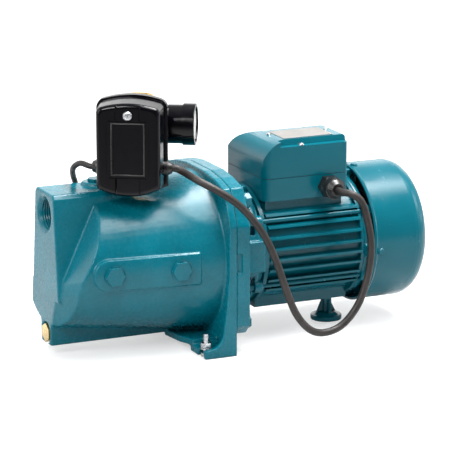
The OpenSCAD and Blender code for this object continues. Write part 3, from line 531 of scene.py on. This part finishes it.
def dial_marks(name, node, radius, t):
    """A tick for every part of the scale, long ones at each fifth, over 270 degrees."""
    joint = next(j for j in frame["joints"] if j["name"] == "needle_sweep")
    centre = Vector(joint["pos_m"])
    out = -Vector(joint["axis"])
    side = Vector((-out.y, out.x, 0)).normalized()
    bm = bmesh.new()
    for i in range(31):
        a = math.radians(225 - 9 * i)
        ray = side * math.cos(a) + Vector((0, 0, math.sin(a)))
        across = side * -math.sin(a) + Vector((0, 0, math.cos(a)))
        inner, half = (radius - 4.2, 0.4) if i % 5 == 0 else (radius - 2.4, 0.22)
        outline = ((inner, -half), (radius, -half), (radius, half), (inner, half))
        corners = [bm.verts.new(centre + (out * (t + h) + ray * r + across * w) * MM)
                   for h in (0, 0.08) for r, w in outline]
        bmesh.ops.convex_hull(bm, input=corners)
    mesh = bpy.data.meshes.new(name)
    bm.to_mesh(mesh)
    bm.free()
    return dress(linked(name, mesh), node, "black_plastic")


dial_marks("dial_marks", "gauge_dial", radius=15.8, t=-1.2)


def frame_border(name, node, half_u, half_w, width, t0, t1, slot):
    """A raised rectangular border on the switch front."""
    sections = []
    for su, sw in ((1, 1), (-1, 1), (-1, -1), (1, -1), (1, 1)):
        inner = (su * (half_u - width), sw * (half_w - width))
        outer = (su * half_u, sw * half_w)
        mid = (su * (half_u - width / 2), sw * (half_w - width / 2))
        sections.append([on_switch(*outer, t0), on_switch(*outer, t1 - 0.25), on_switch(*mid, t1),
                         on_switch(*inner, t1 - 0.25), on_switch(*inner, t0)])
    return dress(from_rings(name, sections, closed=True, caps=False), node, slot)


frame_border("label_border", "switch_cover", PANEL_U + 0.9, PANEL_W + 0.9, 1.3,
             COVER_FRONT - 2, COVER_FRONT + 0.7, "gland_plastic")


def pan_screw(name, node, u, w, t, radius, height):
    """A pan head with a straight slot."""
    profile = [(1.0, 0.0), (1.0, 0.35), (0.93, 0.62), (0.78, 0.85), (0.55, 0.97), (0.2, 1.0)]
    rings = [[on_switch(u + radius * r * math.cos(math.tau * i / 32),
                        w + radius * r * math.sin(math.tau * i / 32), t + height * h) for i in range(32)]
             for r, h in profile]
    head = from_rings("raw_head", rings)
    turn = math.radians(35)
    slot_ends = []
    for s in (-1, 1):
        along = Vector((math.cos(turn), math.sin(turn))) * s * radius * 1.3
        across = Vector((-math.sin(turn), math.cos(turn))) * 0.6
        slot_ends.append([on_switch(u + along.x + a * across.x, w + along.y + a * across.y, t + h)
                          for a, h in ((-1, height * 0.45), (1, height * 0.45), (1, 9), (-1, 9))])
    return dress(linked(name, cut_away(head, [from_rings("slot_cut", slot_ends)])), node)


screw_head = pan_screw("cover_screw_head", "cover_screw", 0, 33, COVER_FRONT - 0.2, 4.6, 2.8)
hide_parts("cover_screw")


# ---------------------------------------------------------------- studio
def studio_floor(toward_camera):
    """Paper that darkens toward the camera, so that low faces keep their colour.

    Its glow is seen by the camera only, which keeps the paper white in the picture.
    """
    mesh = bpy.data.meshes.new("floor")
    reach = 6.0
    mesh.from_pydata([(-reach, -reach, 0), (reach, -reach, 0), (reach, reach, 0), (-reach, reach, 0)],
                     [], [(0, 1, 2, 3)])
    floor = linked("floor", mesh)
    s = Shader("floor_paper", (0.9, 0.9, 0.9), 0.6)
    along = s.nodes.new("ShaderNodeVectorMath")
    along.operation = "DOT_PRODUCT"
    along.inputs[1].default_value = toward_camera
    s.links.new(s.coord, along.inputs[0])
    s.tint(s.ranged(along.outputs["Value"], 0, 1, 0.36, 0.85), (0.5, 0.5, 0.5), (0.15, 0.15, 0.15))
    s.set("Emission Color", (1, 1, 1, 1))
    seen = s.nodes.new("ShaderNodeLightPath").outputs["Is Camera Ray"]
    s.links.new(s.ranged(seen, 0.05, 0.5, 0, 1), s.bsdf.inputs["Emission Strength"])
    s.bump(s.noise(900, 2), 0.00005, 0.2)
    floor.data.materials.append(s.mat)


def softbox(name, place, target, size, power):
    """A rectangular lamp at place that faces target."""
    light = bpy.data.lights.new(name, "AREA")
    light.shape = "RECTANGLE"
    light.size, light.size_y = size
    light.energy = power
    lamp = linked(name, light)
    lamp.location = place
    lamp.rotation_euler = (Vector(target) - Vector(place)).to_track_quat("-Z", "Y").to_euler()


def white_room(back):
    """Bright to the sides and above, dimmer behind the camera so that near faces keep their colour."""
    world = bpy.data.worlds.new("room")
    bpy.context.scene.world = world
    world.use_nodes = True
    nodes, links = world.node_tree.nodes, world.node_tree.links
    coord = nodes.new("ShaderNodeTexCoord")
    facing = nodes.new("ShaderNodeVectorMath")
    facing.operation = "DOT_PRODUCT"
    facing.inputs[1].default_value = back
    links.new(coord.outputs["Generated"], facing.inputs[0])
    level = nodes.new("ShaderNodeMapRange")
    level.inputs["From Min"].default_value = 0.1
    level.inputs["From Max"].default_value = 0.95
    level.inputs["To Min"].default_value = 0.7
    level.inputs["To Max"].default_value = 0.12
    links.new(facing.outputs["Value"], level.inputs["Value"])
    links.new(level.outputs["Result"], nodes["Background"].inputs["Strength"])
    nodes["Background"].inputs["Color"].default_value = (1, 1, 1, 1)


# Camera 24.3 degrees round from the near side and 14 degrees up
camera = linked("camera", bpy.data.cameras.new("camera"))
camera.location = (-1.0635, -2.4830, 0.7858)
camera.rotation_euler = (math.radians(76), 0, math.radians(-24.3))
camera.data.lens = 221.05
camera.data.sensor_width = 36
bpy.context.scene.camera = camera
back = (camera.rotation_euler.to_matrix() @ Vector((0, 0, 1))).normalized()
studio_floor(Vector((back.x, back.y, 0)).normalized())
white_room(back)
softbox("key", (-1.5, -1.2, 1.5), (0, 0, 0.1), (0.7, 0.7), 36)
softbox("top", (0.45, -0.33, 1.6), (0, 0, 0.1), (1.4, 0.9), 46)
softbox("crown", (0.5, 0.1, 1.5), (0, 0, 0.1), (0.7, 0.5), 32)
softbox("back", (1.3, 2.6, 1.0), (0, 0, 0.15), (3.2, 1.4), 17)
softbox("right", (1.9, -0.4, 0.8), (0.1, 0, 0.1), (0.5, 1.2), 10)
softbox("left_back", (-2.0, 1.85, 1.1), (0, 0, 0.1), (2.4, 2.2), 30)
softbox("left_strip", (-2.2, -0.3, 0.8), (0, 0, 0.1), (0.3, 1.3), 12)
bpy.context.scene.view_settings.view_transform = "Standard"
